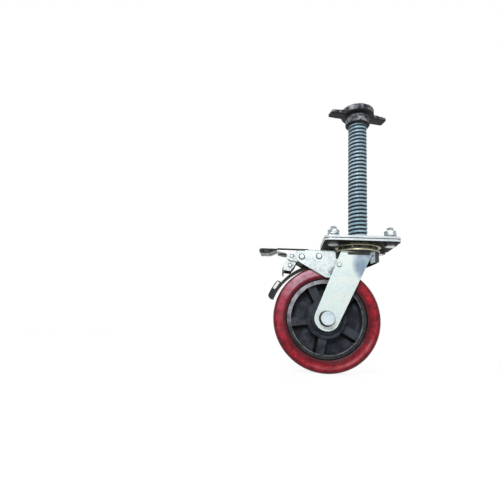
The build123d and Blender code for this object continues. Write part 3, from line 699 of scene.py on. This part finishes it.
# Fork: one 5 mm sheet pressed to a crown, two legs and skirts, bright zinc outside, stained violet
# near the bend. Between the legs it is dull and black with grease and painted shade; its cut edges
# are painted dark as shade, with a painted shadow in the crease under the crown.
fork_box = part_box("fork")
fork_sheet = 0.005
leg_inner = -fork_box[0].y - fork_sheet
crown_low = fork_box[1].z - fork_sheet
stain_x, stain_z = 0.010, -0.050
stain_wide, stain_high = 0.026, 0.034
crease_shadow_x, crease_shadow_half = -0.004, 0.019
crease_shadow_z = crown_low - 0.0016


def fork_tint(place, metal):
    """Blue and violet passivation stain on the near leg below the bend, and faint yellow clouds."""
    across = ((place.axis("X") - stain_x) / stain_wide) ** 2
    down = ((place.axis("Z") - stain_z) / stain_high) ** 2
    near = place.axis("Y").step(-leg_inner + 0.001, -leg_inner - 0.001)
    stain = (across + down).step(1.3, 0.4) * near * (place.noise(60, 3).step(0.25, 0.6) * 0.4 + 0.6)
    violet = place.noise(45, 2).step(0.4, 0.6).colour((0.18, 0.27, 0.36), (0.27, 0.30, 0.44))
    yellow = place.noise(55, 3).step(0.50, 0.66) * 0.5
    return (stain * 0.95).colour(yellow.colour(metal, (0.82, 0.80, 0.70)), violet)


def fork_grease_and_shade(place, normal):
    """Grease and painted shade between the legs, painted shade on the cut edges, and a painted
    shadow in the crease where the crown is bent down.
    """
    side = place.axis("Y").size()
    between_legs_shade = side.step(leg_inner + 0.0002, leg_inner - 0.0004)
    below_crown = place.axis("Z").step(crown_low - 0.002, crown_low - 0.005)
    cut_edge_shade = normal.axis("Y").size().step(0.7, 0.4) * below_crown
    shadow_band = (place.axis("Z") - crease_shadow_z).size().step(0.0034, 0.0024)
    crease_shadow = shadow_band * (place.axis("X") - crease_shadow_x).size().step(crease_shadow_half + 0.004, crease_shadow_half)
    outside = side.step(leg_inner, leg_inner + 0.001)
    return (between_legs_shade * 0.97).most(cut_edge_shade * 0.75).most(crease_shadow * outside)


fork_zinc = finish("fork_zinc", zinc_recipe(
    light=(0.76, 0.87, 0.85), dull=(0.60, 0.72, 0.71), dirt_and_shade_colour=(0.03, 0.029, 0.026), crystals=260,
    marks=fork_grease_and_shade, tint=fork_tint))
dressed("fork", fork_zinc, "fork", edge=0.0008)


# Brake bracket: 3 mm sheet folded to a channel inside the legs, welded at their edges and
# riveted through them. The pins of the pedal and the blade are headed over outside it.
def middle_of(box):
    """X and Z of a box's middle."""
    return (box[0].x + box[1].x) / 2, (box[0].z + box[1].z) / 2


def rings_round(place, boxes, beyond, wide, full):
    """1 on a circle round the head of each pin or rivet in these boxes, beyond metres off its
    edge: whole to within full of the circle, and gone at wide."""
    rings = None
    for box in boxes:
        radius = (box[1].x - box[0].x) / 2 + beyond
        ring = (place.from_line(*middle_of(box)) - radius).size().step(wide, full)
        rings = rings.most(ring) if rings else ring
    return rings


hinge_pins = (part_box("blade_pin"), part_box("pedal_pin"))
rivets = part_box("bracket_rivets")
weld_x, weld_z = middle_of(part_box("bracket_welds"))
# The notch beside the leg is a painted shadow on the sheet; these give its edge and foot.
notch_shadow_x, notch_shadow_low = -0.0478, -0.0415
soot_from, soot_full = 0.010, 0.006
seam_ripple = 0.0024
dark_top_x, dark_top_z = -0.056, -0.0268


def bracket_dirt_and_shade(place, normal):
    """Dark rings round the pin heads, grease and painted shade inside, a painted shadow in the notch
    beside the leg, soot round the welds, and a dark top edge behind the pedal's pin."""
    rings = rings_round(place, hinge_pins, beyond=0.0004, wide=0.0009, full=0.0003)
    side = place.axis("Y").size()
    inside = side.step(leg_inner - 0.0004, leg_inner - 0.0008) * normal.axis("Z").step(0.8, 0.5)
    height = place.axis("Z") - notch_shadow_low
    shadow_beside_leg = (place.axis("X") - notch_shadow_x + height * 0.1).step(0.0012, 0.0018)
    notch_shadow = shadow_beside_leg * height.step(-0.0005, 0.0005)
    cloud = place.noise(300, 3).step(0.50, 0.54)
    soot = place.from_line(weld_x, weld_z).step(soot_from, soot_full) * cloud
    dark_top = place.axis("Z").step(dark_top_z - 0.0007, dark_top_z) * place.axis("X").step(
        dark_top_x, dark_top_x - 0.002)
    outer = side.step(leg_inner - 0.0006, leg_inner - 0.0003)
    on_side = notch_shadow.most(soot * 0.9).most(dark_top * 0.8) * outer
    return (rings * 0.9).most(inside * 0.9).most(on_side)


bracket_zinc = finish("bracket_zinc", zinc_recipe(
    light=(0.76, 0.83, 0.82), dull=(0.48, 0.56, 0.58), dirt_and_shade_colour=(0.012, 0.012, 0.012), crystals=300,
    marks=bracket_dirt_and_shade))
dressed("brake_bracket", bracket_zinc, "fork", edge=0.0006)


def seam_recipe(place, normal):
    """A weld run's ripples, sin of the way down and across it: crests painted light as highlight,
    hollows and faces that do not look sideways painted dark as shade.
    """
    way = place.axis("Z") + place.axis("X") * 0.5 + place.noise(200) * (seam_ripple / 2)
    along = way * (2 * pi / seam_ripple)
    crest = along.maths("SINE", along).step(-0.5, 0.6)
    edge = normal.axis("Y").size().step(0.45, 0.75)
    return {"Base Color": (crest * edge).colour((0.02, 0.02, 0.02), (0.66, 0.70, 0.70)),
            "Metallic": crest * 0.3 + 0.1,
            "Roughness": crest * -0.1 + 0.5,
            "Normal": crest.bump(0.0006)}


seam_metal = finish("seam_metal", seam_recipe)
dressed("bracket_welds", seam_metal, "fork", edge=0.0006)


def head_marks(place, normal):
    """A dark ring round the edge of each rivet and pin head."""
    return rings_round(place, (rivets, *hinge_pins), beyond=0, wide=0.0010, full=0.0005) * 0.9


head_zinc = finish("head_zinc", zinc_recipe(
    light=(0.84, 0.88, 0.88), dull=(0.55, 0.60, 0.62), dirt_and_shade_colour=(0.012, 0.012, 0.012), crystals=1500,
    marks=head_marks))
dressed("bracket_rivets", head_zinc, "fork", edge=0.0005)
dressed("pedal_pin", head_zinc, "fork", edge=0.0003)
dressed("blade_pin", head_zinc, "fork", edge=0.0003)


# Axle: a long hexagon bolt with washers outside the legs and its nut on the far side,
# the distance sleeve and the two ball bearings that it clamps.
axle_x, axle_z = middle_of(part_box("axle_washers"))
axle_head_radius = 0.0126
axle_shadow_radius = axle_head_radius + 0.0012


def axle_head_shadow(place, normal):
    """Painted shadow round the head on the washer, thickest below and behind it."""
    ring = (place.from_line(axle_x, axle_z) - axle_shadow_radius).size().step(0.0022, 0.0012)
    shadow_lean = ((place.axis("X") - axle_x) * 40 + (place.axis("Z") - axle_z) * 25).step(0.55, -0.35)
    return ring * (shadow_lean * 0.7 + 0.3)


axle_zinc = finish("axle_zinc", zinc_recipe(
    light=(0.78, 0.88, 0.92), dull=(0.42, 0.56, 0.62), dirt_and_shade_colour=(0.012, 0.014, 0.016), crystals=900,
    marks=axle_head_shadow))
dressed("axle_bolt", axle_zinc, "fork", edge=0.0005)
dressed("axle_washers", axle_zinc, "fork", edge=0.0003)
dressed("axle_nut", axle_zinc, "fork", edge=0.0005)
dressed("axle_sleeve", dark_steel, "fork", edge=0.0003)
dressed("bearing_inner_rings", ball_steel, "fork", edge=0.0003)
dressed("bearing_balls", ball_steel, "fork", edge=0)
dressed("bearing_outer_rings", ball_steel, "wheel", edge=0.0003)


# Wheel core: black moulded plastic with five spokes, dulled by blue-grey dust, with a black line
# of painted shade along one edge of each spoke; its rim ring is painted paler on one side as a
# highlight.
spoke_count = 5
spoke_angle = radians(44)
spoke_half = 0.008
hub_radius = 0.038
rim_inner = 0.066
rim_outer = 0.0755
# Painted shade: a black line along one edge of each spoke, the edge chosen by its way round the
# axle.
spoke_shade_way, spoke_shade_spread = radians(152), radians(72)
spoke_shade_out = 0.0022
# Painted highlight: the rim ring is paler towards this way round the axle.
rim_highlight_way, rim_highlight_spread = radians(135), 1.2


def around_axle(place):
    """Angle of this place round the axle, from +X towards +Z."""
    return place.maths("ARCTAN2", place.axis("Z") - axle_z, place.axis("X") - axle_x)


def towards(place, direction, width):
    """1 in a direction round the axle, fading to 0 at width to each side."""
    turned = around_axle(place) - direction
    return turned.maths("COSINE", turned).step(cos(width), 1.0)


def core_recipe(place, normal):
    """Black polypropylene with a matt grain and blue-grey dust. A black line along one edge of each
    spoke is painted shade; the rim ring has scuffs, a black line at its outer edge, and a paler side
    and a pale broken line at its inner edge that are painted highlight."""
    radius = place.from_line(axle_x, axle_z)
    scuff = place.noise(110, 5, 0.65)
    dust = place.noise(42, 4).step(0.3, 0.7)
    grit = place.noise(520, 3, 0.7).step(0.56, 0.68)
    dusty = (scuff * 0.4 + dust * 0.6).step(0.3, 0.7)
    base = dusty.colour((0.018, 0.022, 0.030), (0.052, 0.061, 0.076))
    base = (grit * 0.3).colour(base, (0.10, 0.10, 0.11))
    sector = 2 * pi / spoke_count
    turned = around_axle(place) + (6 * pi - spoke_angle + sector / 2)
    from_spoke = turned.maths("MODULO", turned, sector) - sector / 2
    across = from_spoke.maths("SINE", from_spoke) * radius
    side = towards(place, spoke_shade_way, spoke_shade_spread).step(0.01, 0.03) * 2 - 1
    off_line = (across * side - (spoke_half + spoke_shade_out)).size()
    line = off_line.step(0.0032, 0.0022) * radius.between(hub_radius, rim_inner, 0.001)
    ring = radius.step(rim_inner - 0.0005, rim_inner + 0.0005)
    rim_highlight_side = towards(place, rim_highlight_way, rim_highlight_spread)
    slate = scuff.step(0.3, 0.65).colour((0.014, 0.016, 0.020), (0.050, 0.053, 0.057))
    rubbed_highlight = scuff.step(0.3, 0.6).colour((0.22, 0.21, 0.24), (0.50, 0.48, 0.53))
    face = ring.colour(base, rim_highlight_side.colour(slate, rubbed_highlight))
    # A painted highlight: a pale broken line along the ring's inner edge.
    lip = (radius - (rim_inner + 0.0012)).size().step(0.0014, 0.0005)
    groove = (radius - (rim_outer - 0.0004)).size().step(0.0022, 0.0012)
    face = (lip * 0.6 * place.noise(50, 3).step(0.3, 0.6)).colour(face, (0.30, 0.31, 0.32))
    return {"Base Color": line.most(groove).colour(face, (0.002, 0.002, 0.002)),
            "Roughness": scuff * 0.25 + 0.42,
            "Normal": (place.noise(1400, 2) * 0.4 + scuff * 0.6).bump(0.0003)}


core_plastic = finish("core_plastic", core_recipe, Specular_IOR_Level=0.12)
dressed("wheel_core", core_plastic, "wheel", edge=0.0009)


# Tyre: red cast polyurethane with round shoulders, glossy in places, mottled and scuffed, its
# shoulder painted pink on one side as a highlight and its edges painted deep crimson as shade.
shoulder_low, shoulder_high = 0.0845, 0.095
flank_middle, flank_half = 0.0885, 0.0105
flank_from, flank_full = 0.0222, 0.0238
tread_edge = 0.0970
shoulder_highlight_way, soft_highlight_way, glint_way = radians(122), radians(150), radians(300)


def tyre_recipe(place, normal):
    """Cast polyurethane: crimson with dark blotches, pale scuffs and specks. Painted shade darkens
    it at the tread's edge and on the flank near the rim; painted highlight makes it pink on one
    shoulder and paler along one arc low on the other side."""
    radius = place.from_line(axle_x, axle_z)
    blotch = place.noise(75, 5, 0.65)
    fine = place.noise(420, 4, 0.65)
    mottle = (blotch * 0.5 + fine * 0.5).step(0.38, 0.62)
    red = mottle.colour((0.14, 0.004, 0.010), (0.52, 0.020, 0.040))
    side = place.axis("Y").size().step(flank_from, flank_full)
    middle = (radius - flank_middle).size().step(flank_half, 0.001)
    # Painted shade: the flank darkens away from its middle band, towards the rim and the tread.
    red = (side * (1 - middle) * 0.85).colour(red, (0.050, 0.0012, 0.006))
    shoulder = radius.between(shoulder_low, shoulder_high, 0.004)
    inner_shoulder = radius.between(shoulder_low - 0.0015, shoulder_high - 0.002, 0.004)
    # Painted highlights: pink on the shoulder towards one way round the axle, softer pink inside it.
    shoulder_highlight = towards(place, shoulder_highlight_way, 0.62) * shoulder * side
    soft_highlight = towards(place, soft_highlight_way, 1.15) * inner_shoulder * side
    streak = place.noise(60, 5, 0.6).step(0.25, 0.65)
    red = (soft_highlight * streak * 0.40).colour(red, (0.56, 0.13, 0.20))
    red = (shoulder_highlight * (streak * 0.7 + 0.3) * 0.9).colour(red, (0.72, 0.44, 0.55))
    # A painted glint: a paler arc low on the other side of the flank.
    arc = radius.between(flank_middle, flank_middle + 0.0015, 0.0035)
    glint = towards(place, glint_way, 1.1) * arc * side * place.noise(30, 2).step(0.30, 0.65)
    red = (glint * 0.35).colour(red, (0.85, 0.30, 0.34))
    # Painted shade along the tread's edge.
    red = (radius.step(tread_edge, tread_edge + 0.002) * 0.8).colour(red, (0.035, 0.001, 0.004))
    speck = place.noise(260, 5, 0.75).step(0.64, 0.71) * 0.6
    return {"Base Color": speck.colour(red, (0.72, 0.42, 0.42)),
            "Roughness": fine * 0.25 + speck * 0.3 + 0.25,
            "Normal": (blotch * 0.6 + fine * 0.4).bump(0.0005)}


tyre_red = finish("tyre_red", tyre_recipe, Specular_IOR_Level=0.25)
dressed("tyre", tyre_red, "wheel", edge=0.0005, smooth=30)


# Pedal: 2.5 mm sheet folded down at both sides, its tip rolled back into a flat loop. Its upper
# fold is painted black as shade, and the loop is painted dark as shade inside and at its edges.
fold_low = -0.0272
loop_end = -0.161
lobe_radius, lobe_top = 0.0090, -0.042
toggle_box, press_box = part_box("toggle_pin"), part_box("press_pin")


def pedal_dirt_and_shade(place, normal):
    """Painted shade along the upper fold, on the loop's strip edges and in streaks inside it; dark
    round the toggle pin and along the round edge below that pin."""
    side = normal.axis("Y").size().step(0.2, 0.5)
    fold = place.axis("Z").step(fold_low - 0.0004, fold_low + 0.0004) * side
    loop = place.axis("X").step(loop_end + 0.002, loop_end - 0.001)
    streaks = place.stretched(0.25, 1, 1).noise(420, 3).step(0.42, 0.55)
    inside = loop * (1 - side) * streaks * 0.8
    ring = rings_round(place, (toggle_box,), beyond=0.0004, wide=0.0009, full=0.0004)
    off_lobe = (place.from_line(*middle_of(toggle_box)) - lobe_radius).size()
    lobe = off_lobe.step(0.0008, 0.0003) * place.axis("Z").step(lobe_top, lobe_top - 0.004)
    return fold.most(loop * side).most(inside).most(ring * 0.85).most(lobe * 0.7)


pedal_zinc = finish("pedal_zinc", zinc_recipe(
    light=(0.78, 0.81, 0.80), dull=(0.45, 0.50, 0.51), dirt_and_shade_colour=(0.010, 0.010, 0.010), crystals=350,
    marks=pedal_dirt_and_shade))
dressed("brake_pedal", pedal_zinc, "pedal", edge=0.0005)


# Toggle link: a folded strap on two pins, which the pedal drives down. The pins are headed over
# at both ends into low domes.
def domed_pin(box, length, rise, count=36):
    """Grid of a pin along Y through a box's middle: a straight shank whose ends are domes,
    r = R sin t, y = end + rise cos t."""
    radius = (box[1].x - box[0].x) / 2
    turn = np.linspace(0.06, pi / 2, 7)
    radii = np.concatenate([radius * np.sin(turn), radius * np.sin(turn)[::-1]])
    along = np.concatenate([-length - rise * np.cos(turn), length + rise * np.cos(turn)[::-1]])
    grid = swept(radii, along, count)
    x, z = middle_of(box)
    return np.stack([grid[..., 0] + x, grid[..., 2], z - grid[..., 1]], -1)


link_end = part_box("toggle_link")[0].x
link_inner = 0.021
pin_rise = 0.0004


def link_marks(place, normal):
    """Dark rings round both pins, painted shade on the inner faces, and a dark band along the heel.
    """
    rings = rings_round(place, (toggle_box, press_box), beyond=0.0004, wide=0.0009, full=0.0004)
    inside = place.axis("Y").size().step(link_inner + 0.0003, link_inner - 0.0001)
    heel = place.axis("X").step(link_end + 0.0026, link_end + 0.0018)
    return (rings * 0.85).most(inside * 0.9).most(heel * 0.95)


link_zinc = finish("link_zinc", zinc_recipe(
    light=(0.74, 0.78, 0.77), dull=(0.42, 0.47, 0.48), dirt_and_shade_colour=(0.010, 0.010, 0.010), crystals=350,
    marks=link_marks))
pin_zinc = finish("pin_zinc", zinc_recipe(
    light=(0.76, 0.80, 0.82), dull=(0.34, 0.40, 0.44), dirt_and_shade_colour=(0.05, 0.05, 0.05), crystals=1500))
dressed("toggle_link", link_zinc, "link", edge=0.0005)
for name, box, body in (("toggle_pin", toggle_box, "pedal"), ("press_pin", press_box, "link")):
    pin_grid = domed_pin(box, box[1].y - pin_rise, pin_rise)
    put("headed_" + name, skin("headed_" + name, [pin_grid]),
        pin_zinc, body, name, smooth=60)


# Brake blade: spring steel bent round the tread, hinged in the bracket. The link's pin presses
# it down. It is painted near black all over as shade, but the oblong pads of its tail are rubbed
# bright.
strip_half = 0.019


def blade_recipe(place, normal):
    """Spring steel painted near black as shade, rubbed bright on the raised pads."""
    worn_and_lit = place.axis("Y").size().step(strip_half + 0.00005, strip_half + 0.0005)
    scuff = place.noise(170, 5, 0.65)
    steel = scuff.step(0.35, 0.7).colour((0.006, 0.006, 0.007), (0.03, 0.03, 0.033))
    return {"Base Color": worn_and_lit.colour(steel, (0.70, 0.71, 0.70)),
            "Metallic": worn_and_lit * 0.3 + 0.1,
            "Roughness": scuff * 0.3 + 0.38,
            "Normal": scuff.bump(0.0002)}


spring_steel = finish("spring_steel", blade_recipe, Specular_IOR_Level=0.3)
dressed("brake_blade", spring_steel, "blade", edge=0.0005)
